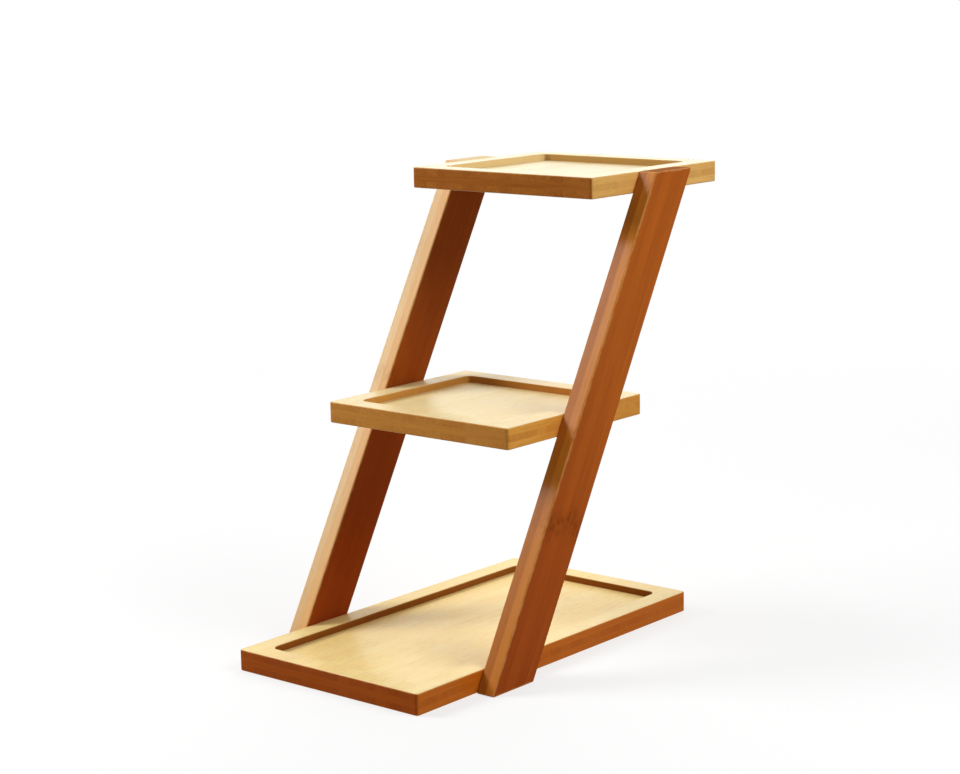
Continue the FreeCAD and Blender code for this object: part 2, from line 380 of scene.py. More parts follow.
def build_laminated_bamboo():
    """Colour and height of a board. Position is in mm: X across the strips, Y along them."""
    tree, given, result = new_group("laminated bamboo", BAMBOO_INPUTS, BAMBOO_OUTPUTS)

    along, strip, to_glue = lay_strips(tree, given)
    strip_random = random_number(tree, combine(tree, strip, given["Ply"], STRIP_SEED))
    shifted = shift_pattern(tree, given, strip_random)
    fibre_place = stretched(tree, shifted, FIBRE_WIDTH, FIBRE_LENGTH)
    fibre = noise(tree, fibre_place, detail=3.0, roughness=0.6)
    streak = noise(tree, stretched(tree, shifted, STREAK_WIDTH, STREAK_LENGTH), detail=2.0)
    drift = noise(tree, stretched(tree, shifted, DRIFT_WIDTH, DRIFT_LENGTH), detail=1.0)
    fleck = short_flecks(tree, shifted)
    glue = ease(tree, to_glue, GLUE_LINE_WIDTH, 0.0)
    knuckle = cane_knuckle(tree, given, strip, along, shifted, fibre)

    _, side_y, side_z = separate(tree, vector_maths(tree, "ABSOLUTE", given["Facing"]))
    face = ease(tree, side_z, TURN_START, TURN_END)
    end = ease(tree, side_y, TURN_START, TURN_END)
    strip_tone = swing(tree, strip_random, given["Strip Contrast"])
    tone = board_tone(tree, strip_tone, end, drift, streak, fibre)
    colour = stain_at(tree, given, tone, face, end)

    flecked = maths(tree, "MULTIPLY", fleck, FLECK_MARK)
    marked = maths(tree, "ADD", flecked, maths(tree, "MULTIPLY", glue, GLUE_MARK))
    marked = maths(tree, "MULTIPLY", marked, given["Marks"])
    knuckled = maths(tree, "MULTIPLY", knuckle, given["Knuckles"])
    marked = maths(tree, "ADD", marked, knuckled, clamp=True)
    plug(tree, mix(tree, marked, colour, given["Mark Color"]), result["Color"])

    height = maths(tree, "MULTIPLY", fibre, FIBRE_HEIGHT)
    height = maths(tree, "SUBTRACT", height, maths(tree, "MULTIPLY", fleck, FLECK_DEPTH))
    height = maths(tree, "SUBTRACT", height, maths(tree, "MULTIPLY", glue, GLUE_DEPTH))
    height = maths(tree, "ADD", height, maths(tree, "MULTIPLY", knuckle, KNUCKLE_HEIGHT))
    plug(tree, height, result["Height"])
    return tree


laminated_bamboo = build_laminated_bamboo()
print("laminated bamboo has", len(laminated_bamboo.nodes), "nodes")

# %% [markdown]
# ## Worn edges, and a painted edge highlight
#
# Stained wood is sanded lightly between coats, and the sanding takes the stain off the
# eased edges first. Handling goes on with it. The paler colour along the edges is partly a
# painted highlight too: it stands in for the light that the eased edges catch. Blender can
# find edges with bevel or pointiness nodes, but both depend on the render or on the mesh.
# A board is a box, so how near a point is to the box's edges is a short sum: of its three
# distances to the faces, the middle one. A noise makes the worn strip wider here and
# narrower there, as a hand does and a machine does not.

# %% The edge wear and highlight group
# The scale is per mm, and the rest are shares.
WEAR_NOISE_SCALE = 0.22
WEAR_NOISE_LOW = 0.25
WEAR_NOISE_HIGH = 0.75
NARROWEST_WEAR = 0.45
WIDEST_WEAR = 1.35


def build_edge_wear():
    """How worn a point is, and so how much painted highlight it gets, from 0 to 1. Position and Half
    Size are in mm, from the centre.
    """
    inputs = [("Position", "Vector"), ("Half Size", "Vector"), ("Width", "Float")]
    tree, given, result = new_group("edge wear", inputs, [("Wear", "Float")])
    out_from_centre = vector_maths(tree, "ABSOLUTE", given["Position"])
    a, b, c = separate(tree, vector_maths(tree, "SUBTRACT", given["Half Size"], out_from_centre))
    smaller = maths(tree, "MINIMUM", a, b)
    larger = maths(tree, "MAXIMUM", a, b)
    middle = maths(tree, "MAXIMUM", smaller, maths(tree, "MINIMUM", larger, c))
    broken = noise(tree, given["Position"], scale=WEAR_NOISE_SCALE, detail=3.0, roughness=0.65)
    share = ease(tree, broken, WEAR_NOISE_LOW, WEAR_NOISE_HIGH, NARROWEST_WEAR, WIDEST_WEAR)
    reach = maths(tree, "MULTIPLY", given["Width"], share)
    plug(tree, ease(tree, middle, reach, 0.0), result["Wear"])
    return tree


edge_wear_and_highlight = build_edge_wear()
print("edge wear has", len(edge_wear_and_highlight.nodes), "nodes")

# %% [markdown]
# ### The lip of a recess
#
# The mouth of a tray's recess is an edge too, but not one of the box's. Its outline is a
# rectangle with rounded corners, and the distance to such an outline also has a short
# formula: past the start of the corners it is measured from their centres, and elsewhere
# from the nearest side. It is below 0 inside the outline, which gives a mask of the recess
# at no cost. The sum folds the board onto one quarter and one flat face, so the underside
# gets the same faint line.

# %% The lip wear group
# In mm, outwards from the lip.
MASK_EDGE = 1.0


def build_lip_wear():
    """Wear along the outline of a recess, on a board's flat faces, and a mask of its inside."""
    inputs = [
        ("Position", "Vector"),
        ("Half Size", "Vector"),
        ("Corner", "Float"),
        ("Width", "Float"),
    ]
    tree, given, result = new_group("lip wear", inputs, [("Wear", "Float"), ("Inside", "Float")])
    x, y, z = separate(tree, vector_maths(tree, "ABSOLUTE", given["Position"]))
    half_x, half_y, half_z = separate(tree, given["Half Size"])
    past_x = maths(tree, "ADD", maths(tree, "SUBTRACT", x, half_x), given["Corner"])
    past_y = maths(tree, "ADD", maths(tree, "SUBTRACT", y, half_y), given["Corner"])
    corner_x = maths(tree, "MAXIMUM", past_x, 0.0)
    corner_y = maths(tree, "MAXIMUM", past_y, 0.0)
    around = vector_maths(tree, "LENGTH", combine(tree, corner_x, corner_y, 0.0), output="Value")
    within = maths(tree, "MINIMUM", maths(tree, "MAXIMUM", past_x, past_y), 0.0)
    outline = maths(tree, "SUBTRACT", maths(tree, "ADD", around, within), given["Corner"])
    below = maths(tree, "ABSOLUTE", maths(tree, "SUBTRACT", half_z, z))
    nearest = maths(tree, "MAXIMUM", maths(tree, "ABSOLUTE", outline), below)
    plug(tree, ease(tree, nearest, given["Width"], 0.0), result["Wear"])
    plug(tree, ease(tree, outline, MASK_EDGE, 0.0), result["Inside"])
    return tree


lip_wear = build_lip_wear()
print("lip wear has", len(lip_wear.nodes), "nodes")

# %% [markdown]
# ## Lacquer
#
# A thin clear lacquer is sprayed over the stain. It is never quite even: it has a soft
# ripple, it clouds in places, and it is duller where it lies thin or is worn. It could be
# mixed into the wood's own roughness. A coat on the shader is used instead, because it is
# what lacquer is: a second, clear surface over a duller one. The group gives the coat's
# weight and the roughness and ripple below it.

# %% The lacquer group
# The two scales are per mm, and the rest are shares.
CLOUD_SCALE = 0.045
RIPPLE_SCALE = 0.35
CLOUD_LOW = 0.3
CLOUD_HIGH = 0.7
CLOUD_DULLNESS = 0.6
FULL_FILM = 0.6
THIN_FILM_DULLNESS = 0.3
DULL_THINNING = 0.3


def build_lacquer():
    """Roughness, weight and ripple of the lacquer film. Position is in mm."""
    inputs = [
        ("Position", "Vector"),
        ("Film", "Float"),
        ("Wear", "Float"),
        ("Smoothest", "Float"),
        ("Dullest", "Float"),
    ]
    outputs = [("Roughness", "Float"), ("Coat", "Float"), ("Ripple", "Float")]
    tree, given, result = new_group("lacquer", inputs, outputs)
    cloud = noise(tree, given["Position"], scale=CLOUD_SCALE, detail=4.0, roughness=0.6)
    clouded = ease(tree, cloud, CLOUD_LOW, CLOUD_HIGH, 0.0, CLOUD_DULLNESS)
    thin = ease(tree, given["Film"], FULL_FILM, 0.0, 0.0, THIN_FILM_DULLNESS)
    dull = maths(tree, "ADD", maths(tree, "ADD", clouded, given["Wear"]), thin, clamp=True)
    roughness = mix(tree, dull, given["Smoothest"], given["Dullest"], kind="FLOAT")
    plug(tree, roughness, result["Roughness"])
    thinned = maths(tree, "SUBTRACT", 1.0, maths(tree, "MULTIPLY", dull, DULL_THINNING))
    plug(tree, maths(tree, "MULTIPLY", given["Film"], thinned), result["Coat"])
    plug(tree, noise(tree, given["Position"], scale=RIPPLE_SCALE, detail=1.0), result["Ripple"])
    return tree


lacquer = build_lacquer()
print("lacquer has", len(lacquer.nodes), "nodes")

# %% [markdown]
# ## A board's material
#
# Each board gets its own material, because no two boards are cut from the same strips. Its
# shader reads board millimetres: X across the strips, Y along the grain and Z through the
# thickness, all from the board's centre. Object coordinates give them, because a solid
# pattern needs no unwrapping. A leg leans, so its Mapping node turns the pattern with it.

# %% Board coordinates
def board_coordinates(tree, node, axes):
    """Position in board mm, and the direction that the surface faces, in the board's own axes."""
    low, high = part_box(node)
    turn = Matrix(axes).to_euler()
    centre = Matrix(axes) @ ((low + high) / 2)
    source = tree.nodes.new("ShaderNodeTexCoord")
    place = tree.nodes.new("ShaderNodeMapping")
    place.inputs["Rotation"].default_value = turn
    place.inputs["Scale"].default_value = (1 / MM, 1 / MM, 1 / MM)
    place.inputs["Location"].default_value = -centre / MM
    tree.links.new(source.outputs["Object"], place.inputs["Vector"])
    facing = tree.nodes.new("ShaderNodeMapping")
    facing.vector_type = "VECTOR"
    facing.inputs["Rotation"].default_value = turn
    tree.links.new(source.outputs["Normal"], facing.inputs["Vector"])
    return place.outputs["Vector"], facing.outputs["Vector"]


def new_material(name):
    """A material with its shader and an empty tree around it."""
    material = bpy.data.materials.new(name)
    material.use_nodes = True
    tree = material.node_tree
    shader = next(n for n in tree.nodes if n.type == "BSDF_PRINCIPLED")
    return material, tree, shader


print("one metre is", round(1 / MM), "of a board's units")

# %% [markdown]
# ### Wood under lacquer
#
# The shader has two gloss settings. The coat is the lacquer. The specular level is the
# wood's own gloss, which is slight on the trays, and none at all on the darker legs. Worn
# places show a paler wood colour of their own, which on the edges is partly a painted
# highlight, and the height of the grain and the ripple of the film share one Bump node.

# %% Join the bamboo and its lacquer to the shader
IOR_LACQUER = 1.5
COAT_ROUGHNESS = 0.22
SMOOTHEST_WOOD = 0.28
DULLEST_WOOD = 0.5
RIPPLE_HEIGHT = 0.5
GRAIN_STRENGTH = 0.35
GRAIN_DEPTH = 0.06 * MM


def lacquered(tree, shader, position, colour, grain, wear, film, finish):
    """Sets the shader from the bamboo's colour and grain, its wear and painted edge highlight, and
    its film of lacquer.
    """
    coat = use_group(
        tree,
        lacquer,
        Position=position,
        Film=film,
        Wear=wear,
        Smoothest=SMOOTHEST_WOOD,
        Dullest=DULLEST_WOOD,
    )
    # Painted highlight: the paler worn colour on the edges partly stands in for light that the eased
    # edges catch.
    plug(tree, mix(tree, wear, colour, finish["worn_and_highlit"]), shader.inputs["Base Color"])
    plug(tree, coat["Roughness"], shader.inputs["Roughness"])
    plug(tree, coat["Coat"], shader.inputs["Coat Weight"])
    shader.inputs["IOR"].default_value = IOR_LACQUER
    shader.inputs["Specular IOR Level"].default_value = finish["gloss"]
    shader.inputs["Coat IOR"].default_value = IOR_LACQUER
    shader.inputs["Coat Roughness"].default_value = COAT_ROUGHNESS
    height = maths(tree, "ADD", grain, maths(tree, "MULTIPLY", coat["Ripple"], RIPPLE_HEIGHT))
    bump = tree.nodes.new("ShaderNodeBump")
    bump.inputs["Strength"].default_value = GRAIN_STRENGTH
    bump.inputs["Distance"].default_value = GRAIN_DEPTH
    plug(tree, height, bump.inputs["Height"])
    tree.links.new(bump.outputs["Normal"], shader.inputs["Normal"])


print("below the lacquer, roughness runs from", SMOOTHEST_WOOD, "to", DULLEST_WOOD)

# %% [markdown]
# ## Trays
#
# A tray is a three-ply board 12 mm thick, with its recess milled into the upper ply. The
# three trays could share one material. But on the real stand the base tray is the reddest.
# The flat faces are pale, on the top tray palest of all, partly as painted light: their
# cream colour holds a painted sheen from the light above. The long sides are stained, the
# front and back are darker, and the milled walls carry painted shade. So each tray has a
# table of stains, and its surface picks from it by the way that it faces. Cut ends soak up
# a little more stain.

# %% Stains of the trays
# Painted sheen: the Face colours are paler and creamier than the wood's stain, to hold the sheen that
# the flat faces catch from above.
TRAY_STAINS = {
    "base_tray": {
        "Face Pale": (0.94, 0.75, 0.34, 1.0),
        "Face Deep": (0.90, 0.65, 0.25, 1.0),
        "Side Pale": (0.74, 0.195, 0.014, 1.0),
        "Side Deep": (0.52, 0.115, 0.006, 1.0),
        "Front Pale": (0.54, 0.114, 0.005, 1.0),
        "Front Deep": (0.335, 0.057, 0.002, 1.0),
        # Painted shade: the wall tones, darker than the flat faces, stand in for the shade inside the
        # recess.
        "Side Wall Shade": (0.28, 0.088, 0.010, 1.0),
        "Front Wall Shade": (0.235, 0.066, 0.005, 1.0),
    },
    "middle_tray": {
        "Face Pale": (0.92, 0.76, 0.41, 1.0),
        "Face Deep": (0.86, 0.66, 0.30, 1.0),
        "Side Pale": (0.93, 0.44, 0.075, 1.0),
        "Side Deep": (0.68, 0.25, 0.032, 1.0),
        "Front Pale": (0.77, 0.36, 0.070, 1.0),
        "Front Deep": (0.53, 0.198, 0.031, 1.0),
        "Side Wall Shade": (0.66, 0.32, 0.072, 1.0),
        "Front Wall Shade": (0.47, 0.19, 0.035, 1.0),
    },
    "top_tray": {
        "Face Pale": (0.85, 0.73, 0.46, 1.0),
        "Face Deep": (0.79, 0.65, 0.36, 1.0),
        "Side Pale": (0.93, 0.55, 0.160, 1.0),
        "Side Deep": (0.74, 0.35, 0.075, 1.0),
        "Front Pale": (0.57, 0.205, 0.030, 1.0),
        "Front Deep": (0.325, 0.087, 0.006, 1.0),
        "Side Wall Shade": (0.82, 0.60, 0.28, 1.0),
        "Front Wall Shade": (0.46, 0.26, 0.075, 1.0),
    },
}
SOAKED = (0.93, 0.90, 0.88, 1.0)
TRAY_MARK = (0.30, 0.10, 0.02, 1.0)
# The worn colour is partly a painted highlight on the edges.
TRAY_FINISH = {"worn_and_highlit": (0.88, 0.54, 0.22, 1.0), "gloss": 0.06}
print(len(TRAY_STAINS), "trays have", len(TRAY_STAINS["base_tray"]), "stains each")

# %% [markdown]
# ### Where a tray wears, with a painted edge highlight
#
# Hands and cloths rub the upper edges of a tray and the lip of its recess, and seldom the
# lower edges. The pale worn colour there is partly a painted highlight, and the lower edges
# get less of it because they catch little light from above. The two kinds of wear could be
# laid over each other as two stains. It is simpler to take the stronger of them at each
# point, once the lower edges are toned down.

# %% Wear and painted highlight of a tray
# Sizes in mm.
RIM = 12.5
RECESS_CORNER = 5.0
CORE_HALF = 1.9
TRAY_WEAR = 0.9
LIP_WEAR = 0.9
# Shares: of the worn colour, partly a painted highlight, on a worn edge, and of the upper
# edges' wear on the lower ones, which catch little light from above.
TRAY_BARE_AND_HIGHLIT = 0.35
LOWER_EDGES_IN_SHADE = 0.3


def tray_wear_and_highlight(tree, node, position, z):
    """Wear and painted highlight on a tray's edges and its recess's lip, and the mask of what is
    inside the lip.
    """
    low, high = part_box(node)
    half = (high - low) / 2 / MM
    edges = use_group(tree, edge_wear_and_highlight, Position=position, Half_Size=half, Width=TRAY_WEAR)
    lip = use_group(
        tree,
        lip_wear,
        Position=position,
        Half_Size=(half.x - RIM, half.y - RIM, half.z),
        Corner=RECESS_CORNER,
        Width=LIP_WEAR,
    )
    # Painted shade: the lower edges get less of the worn colour, as they catch little light from
    # above.
    upper_edges_lit = ease(tree, z, -CORE_HALF, CORE_HALF, LOWER_EDGES_IN_SHADE, 1.0)
    handled_and_lit = maths(tree, "MULTIPLY", edges["Wear"], upper_edges_lit)
    worn_and_highlit = maths(tree, "MAXIMUM", handled_and_lit, lip["Wear"])
    return maths(tree, "MULTIPLY", worn_and_highlit, TRAY_BARE_AND_HIGHLIT), lip["Inside"]


print("wear reaches about", TRAY_WEAR, "mm in from the edges of a tray")

# %% [markdown]
# ### The board of a tray
#
# The strips of the outer plies run from front to back, and those of the thin core run
# across, which shows faintly along the sides. The core could have a pattern of its own. It
# is enough to swap X and Y where a point lies in the core, and to count it as another ply.
# More lacquer settles on the flat faces than on the upright ones.

# %% Tray materials
UPRIGHT = ((1.0, 0.0, 0.0), (0.0, 1.0, 0.0), (0.0, 0.0, 1.0))
# In mm.
TRAY_STRIP = 9.0
# Shares.
TRAY_STRIP_CONTRAST = 0.5
TRAY_JOINT_SCATTER = 1.0
TRAY_MARKS = 0.8
TRAY_KNUCKLES = 0.10
FLAT_FILM = 0.3
UPRIGHT_FILM = 0.06
# Each tray numbers its plies from another start, so that no two have the same strips.
TRAY_PLY_STEP = 7.0


def tray_bamboo(node, ply):
    """Three-ply bamboo for one tray. Its plies are numbered from ply."""
    stain = TRAY_STAINS[node]
    material, tree, shader = new_material(node + "_bamboo")
    position, facing = board_coordinates(tree, node, UPRIGHT)
    x, y, z = separate(tree, position)
    face_x, face_y, face_z = separate(tree, vector_maths(tree, "ABSOLUTE", facing))
    flat = ease(tree, face_z, TURN_START, TURN_END)
    front = ease(tree, face_y, TURN_START, TURN_END)
    pale = mix(tree, front, stain["Side Pale"], stain["Front Pale"])
    deep = mix(tree, front, stain["Side Deep"], stain["Front Deep"])
    in_core = maths(tree, "LESS_THAN", maths(tree, "ABSOLUTE", z), CORE_HALF)
    crossed = combine(tree, y, x, z)
    facing_crossed = combine(tree, face_y, face_x, face_z)
    bamboo = use_group(
        tree,
        laminated_bamboo,
        Position=mix(tree, in_core, position, crossed, kind="VECTOR"),
        Facing=mix(tree, in_core, facing, facing_crossed, kind="VECTOR"),
        Ply=maths(tree, "ADD", in_core, ply),
        Strip_Width=TRAY_STRIP,
        Strip_Contrast=TRAY_STRIP_CONTRAST,
        Joint_Scatter=TRAY_JOINT_SCATTER,
        Face_Pale=stain["Face Pale"],
        Face_Deep=stain["Face Deep"],
        Side_Pale=pale,
        Side_Deep=deep,
        End_Pale=tinted(tree, pale, SOAKED),
        End_Deep=tinted(tree, deep, SOAKED),
        Mark_Color=TRAY_MARK,
        Marks=TRAY_MARKS,
        Knuckles=TRAY_KNUCKLES,
    )
    wear, inside = tray_wear_and_highlight(tree, node, position, z)
    # Painted shade: the milled walls of the recess take the darker wall tones.
    milled_wall_in_shade = maths(tree, "MULTIPLY", inside, maths(tree, "SUBTRACT", 1.0, flat))
    painted_wall_shade = mix(tree, front, stain["Side Wall Shade"], stain["Front Wall Shade"])
    colour = mix(tree, milled_wall_in_shade, bamboo["Color"], painted_wall_shade)
    film = ease(tree, flat, 0.0, 1.0, UPRIGHT_FILM, FLAT_FILM)
    lacquered(tree, shader, position, colour, bamboo["Height"], wear, film, TRAY_FINISH)
    return material


for number, node in enumerate(TRAY_STAINS):
    nodes[node].material_slots[0].material = tray_bamboo(node, TRAY_PLY_STEP * number)
    print(node, "is dressed in", nodes[node].material_slots[0].material.name)

# %% [markdown]
# ## Legs
#
# A leg is cut on the lean from a board of two plies, with its grain along its length. Its
# broad faces are stained dark, on the left leg darker still as painted shade. Its narrow
# front and back are paler, and show both plies, the outer one paler than the inner. On the
# left leg the narrow faces and cut ends are much paler, as a painted highlight.
#
# A broad face could have one colour from foot to top. Instead it is tinted darker towards
# the foot. One cane joint is placed on each leg, at the same height in all strips but for a
# small scatter, because neighbouring strips come from one cane.

# %% Stains of the legs
# Outward is the side that the outer ply is on. Ply is the number of the inner ply, and
# Joint is the place of the cane joint, in mm up the grain from the leg's middle.
LEG_STAINS = {
    "left_leg": {
        "Outward": -1.0,
        "Ply": 31.0,
        "Joint": 5.0,
        # Painted shade: the left leg's broad faces are darker and redder than the right leg's, to
        # hold the shade on its inner face.
        "Face Pale": (0.445, 0.104, 0.015, 1.0),
        "Face Deep": (0.345, 0.073, 0.010, 1.0),
        # Painted highlight: the left leg's ply and end colours are much paler than the right leg's,
        # to hold the highlight that its narrow faces and top end catch.
        "Inner Ply": (0.97, 0.58, 0.23, 1.0),
        "Outer Ply": (0.95, 0.66, 0.33, 1.0),
        "End Pale": (0.86, 0.68, 0.40, 1.0),
        "End Deep": (0.78, 0.58, 0.30, 1.0),
    },
    "right_leg": {
        "Outward": 1.0,
        "Ply": 43.0,
        "Joint": -58.0,
        "Face Pale": (0.595, 0.150, 0.018, 1.0),
        "Face Deep": (0.405, 0.088, 0.012, 1.0),
        "Inner Ply": (0.53, 0.172, 0.020, 1.0),
        "Outer Ply": (0.70, 0.250, 0.030, 1.0),
        "End Pale": (0.38, 0.125, 0.022, 1.0),
        "End Deep": (0.30, 0.090, 0.015, 1.0),
    },
}
PLY_GRAIN = (0.80, 0.70, 0.62, 1.0)
UNTINTED = (1.0, 1.0, 1.0, 1.0)
FOOT_TINT = (0.87, 0.70, 0.75, 1.0)
LEG_MARK = (0.26, 0.052, 0.003, 1.0)
# The worn colour is partly a painted highlight on the edges.
LEG_FINISH = {"worn_and_highlit": (0.80, 0.42, 0.15, 1.0), "gloss": 0.0}
for node, stain in LEG_STAINS.items():
    print(node, "has its cane joint", stain["Joint"], "mm up from its middle")

# %% [markdown]
# ### Plies, and worn edges with a painted highlight
#
# A point's place in the thickness tells which ply it is in. The colour could change
# sharply there, as the pattern does, but stain bleeds a little over the line between two
# plies, so the colours are blended.
#
# A leg is not quite a box, because its foot and top are cut level while its sides lean.
# The wear of a box still fits, once a point's height takes the place of how far it is
# along the leg.

# %% Plies, and wear and painted highlight of a leg
LEG_LEAN = math.radians(29.4)
UP_IN_LEG = (-math.sin(LEG_LEAN), math.cos(LEG_LEAN), 0.0)
# Sizes in mm.
LEG_WIDTH = 30.0
OUTER_PLY = 6.0
PLY_BLEED = 0.9
LEG_WEAR = 1.3
# The share of the worn colour, partly a painted highlight, on a worn edge.
LEG_BARE_AND_HIGHLIT = 0.55


def leg_plies(tree, stain, z, half_thickness):
    """1 in the outer ply and 0 in the inner one, and the colour of the plies' narrow faces."""
    outward = maths(tree, "MULTIPLY", z, stain["Outward"])
    past_line = maths(tree, "SUBTRACT", outward, half_thickness - OUTER_PLY)
    bleed = ease(tree, past_line, -PLY_BLEED, PLY_BLEED)
    ply_colour = mix(tree, bleed, stain["Inner Ply"], stain["Outer Ply"])
    return maths(tree, "GREATER_THAN", past_line, 0.0), ply_colour


def leg_wear_and_highlight(tree, position, x, z, half):
    """Wear and painted highlight along a leg's edges, and round its level cuts."""
    height = vector_maths(tree, "DOT_PRODUCT", position, UP_IN_LEG, output="Value")
    in_box = combine(tree, x, height, z)
    edges = use_group(tree, edge_wear_and_highlight, Position=in_box, Half_Size=half, Width=LEG_WEAR)
    return maths(tree, "MULTIPLY", edges["Wear"], LEG_BARE_AND_HIGHLIT)


print("wear reaches about", LEG_WEAR, "mm in from the edges of a leg")

# %% [markdown]
# ### The board of a leg
#
# Three axes turn the pattern onto a leg: across its width, up its grain and through its
# thickness. Both legs lean alike, so one set of axes does for both. The mark of the cane
# joint is strong on the broad faces and weak on the narrow ones, and the film is thicker
# on the narrow ones, which makes them shine.

# %% Leg materials
LEG_AXES = (
    (0.0, math.cos(LEG_LEAN), -math.sin(LEG_LEAN)),
    (0.0, math.sin(LEG_LEAN), math.cos(LEG_LEAN)),
    (1.0, 0.0, 0.0),
)
# In mm, the last two up the grain from the leg's middle.
LEG_STRIP = 8.0
FOOT_TINT_START = 40.0
FOOT_TINT_END = -110.0
# Shares.
LEG_STRIP_CONTRAST = 0.25
LEG_JOINT_SCATTER = 0.05
LEG_MARKS = 0.5
NARROW_KNUCKLES = 0.22
BROAD_KNUCKLES = 0.70
NARROW_FILM = 0.21


def leg_bamboo(node):
    """Two-ply bamboo for one leg."""
    stain = LEG_STAINS[node]
    material, tree, shader = new_material(node + "_bamboo")
    position, facing = board_coordinates(tree, node, LEG_AXES)
    x, y, z = separate(tree, position)
    narrow, _, broad = separate(tree, vector_maths(tree, "ABSOLUTE", facing))
    low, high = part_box(node)
    half_thickness = (high.x - low.x) / 2 / MM
    half = (LEG_WIDTH / 2, (high.z - low.z) / 2 / MM, half_thickness)
    outer, ply_colour = leg_plies(tree, stain, z, half_thickness)
    # The broad faces are tinted darker towards the foot.
    toward_foot = mix(tree, ease(tree, y, FOOT_TINT_START, FOOT_TINT_END), UNTINTED, FOOT_TINT)
    bamboo = use_group(
        tree,
        laminated_bamboo,
        Position=position,
        Facing=facing,
        Ply=maths(tree, "ADD", outer, stain["Ply"]),
        Strip_Width=LEG_STRIP,
        Strip_Contrast=LEG_STRIP_CONTRAST,
        Joint_Place=stain["Joint"],
        Joint_Scatter=LEG_JOINT_SCATTER,
        Face_Pale=tinted(tree, stain["Face Pale"], toward_foot),
        Face_Deep=tinted(tree, stain["Face Deep"], toward_foot),
        Side_Pale=ply_colour,
        Side_Deep=tinted(tree, ply_colour, PLY_GRAIN),
        End_Pale=stain["End Pale"],
        End_Deep=stain["End Deep"],
        Mark_Color=LEG_MARK,
        Marks=LEG_MARKS,
        Knuckles=ease(tree, broad, TURN_START, TURN_END, NARROW_KNUCKLES, BROAD_KNUCKLES),
    )
    wear = leg_wear_and_highlight(tree, position, x, z, half)
    film = ease(tree, narrow, TURN_START, TURN_END, UPRIGHT_FILM, NARROW_FILM)
    colour = bamboo["Color"]
    lacquered(tree, shader, position, colour, bamboo["Height"], wear, film, LEG_FINISH)
    return material


for node in LEG_STAINS:
    nodes[node].material_slots[0].material = leg_bamboo(node)
    print(node, "is dressed in", nodes[node].material_slots[0].material.name)

# %% [markdown]
# ## Dowels
#
# The dowels that hold trays and legs together are hidden inside the wood. They are bare
# hardwood rods with flutes pressed in for the glue, and are dressed for a cut-open view.
# They could share the bamboo, but a dowel is another wood: one noise, drawn out along the
# rod, gives its fine rays, and it has no lacquer.

# %% Dowel material
DOWEL_PALE = (0.78, 0.56, 0.34, 1.0)
DOWEL_DEEP = (0.62, 0.40, 0.21, 1.0)
# In mm, along the dowel and twice across it.
RAY_SIZE = (9.0, 0.5, 0.5)
RAY_LOW = 0.2
RAY_HIGH = 0.8
SMOOTHEST_DOWEL = 0.55
DULLEST_DOWEL = 0.75
RAY_DEPTH = 0.05 * MM


def bare_dowel_wood():
    """Pale unlacquered hardwood, with its grain along the dowel."""
    material, tree, shader = new_material("bare_dowel_wood")
    source = tree.nodes.new("ShaderNodeTexCoord")
    place = tree.nodes.new("ShaderNodeMapping")
    place.inputs["Scale"].default_value = (1 / MM, 1 / MM, 1 / MM)
    tree.links.new(source.outputs["Object"], place.inputs["Vector"])
    rays = noise(tree, vector_maths(tree, "DIVIDE", place.outputs["Vector"], RAY_SIZE), detail=3.0)
    plug(tree, mix(tree, rays, DOWEL_PALE, DOWEL_DEEP), shader.inputs["Base Color"])
    roughness = ease(tree, rays, RAY_LOW, RAY_HIGH, SMOOTHEST_DOWEL, DULLEST_DOWEL)
    plug(tree, roughness, shader.inputs["Roughness"])
    bump = tree.nodes.new("ShaderNodeBump")
    bump.inputs["Distance"].default_value = RAY_DEPTH
    plug(tree, rays, bump.inputs["Height"])
    tree.links.new(bump.outputs["Normal"], shader.inputs["Normal"])
    return material


dowel_wood = bare_dowel_wood()
dowels = [name for name in nodes if "dowel" in name]
for name in dowels:
    nodes[name].material_slots[0].material = dowel_wood
print(len(dowels), "dowels share", dowel_wood.name)

# %% [markdown]
# ## Floor
#
# The stand is shown on plain white. A bright floor and world would do it, but they would
# wash out the stain with light from every side. The Light Path node tells what kind of ray
# asks: the camera and reflections see a white floor, while the light that falls on the wood
# stays moderate.
#
# A floor also darkens the faces that rest on it. They are only seen from below, where they
# should look as they would if the stand were picked up. So the floor glows a little for
# the rays that they send out.

# %% Rays that ask the floor
CONTACT_REACH = 1.0 * MM


def seen_directly(tree):
    """1 for rays from the camera and for reflected or transmitted rays, 0 for light."""
    path = tree.nodes.new("ShaderNodeLightPath")
    seen = maths(tree, "MAXIMUM", path.outputs["Is Camera Ray"], path.outputs["Is Glossy Ray"])
    return maths(tree, "MAXIMUM", seen, path.outputs["Is Transmission Ray"])


def asked_by_a_resting_face(tree):
    """1 for light gathered by a face that rests on the floor, 0 for all other rays."""
    path = tree.nodes.new("ShaderNodeLightPath")
    close = maths(tree, "LESS_THAN", path.outputs["Ray Length"], CONTACT_REACH)
    return maths(tree, "MULTIPLY", path.outputs["Is Diffuse Ray"], close)


print("a face that rests on the floor is within", CONTACT_REACH / MM, "mm of it")

# %% [markdown]
# ### Matt near by, white further out
#
# A shadow needs a matt surface, and pure white needs a glow. One shader can't be both, so
# two are mixed by how far a point is from the stand: near it a matt grey that keeps the
# shadow, made white to the eye by some glow, and further out a glow alone. To a camera
# below it, the floor is clear.

# %% Floor material
FLOOR_ALBEDO = 0.3
# Strengths of light. A glow of 1 is plain white.
FLOOR_GLOW = 0.69
CONTACT_GLOW = 0.4
WHITE = 1.0
# In metres, outwards from the stand's middle.
SHADOW_REACH = 0.45
BACKDROP_START = 1.1


def emission(tree, strength):
    """A shader that gives white light."""
    made = tree.nodes.new("ShaderNodeEmission")
    plug(tree, strength, made.inputs["Strength"])
    return made.outputs[0]


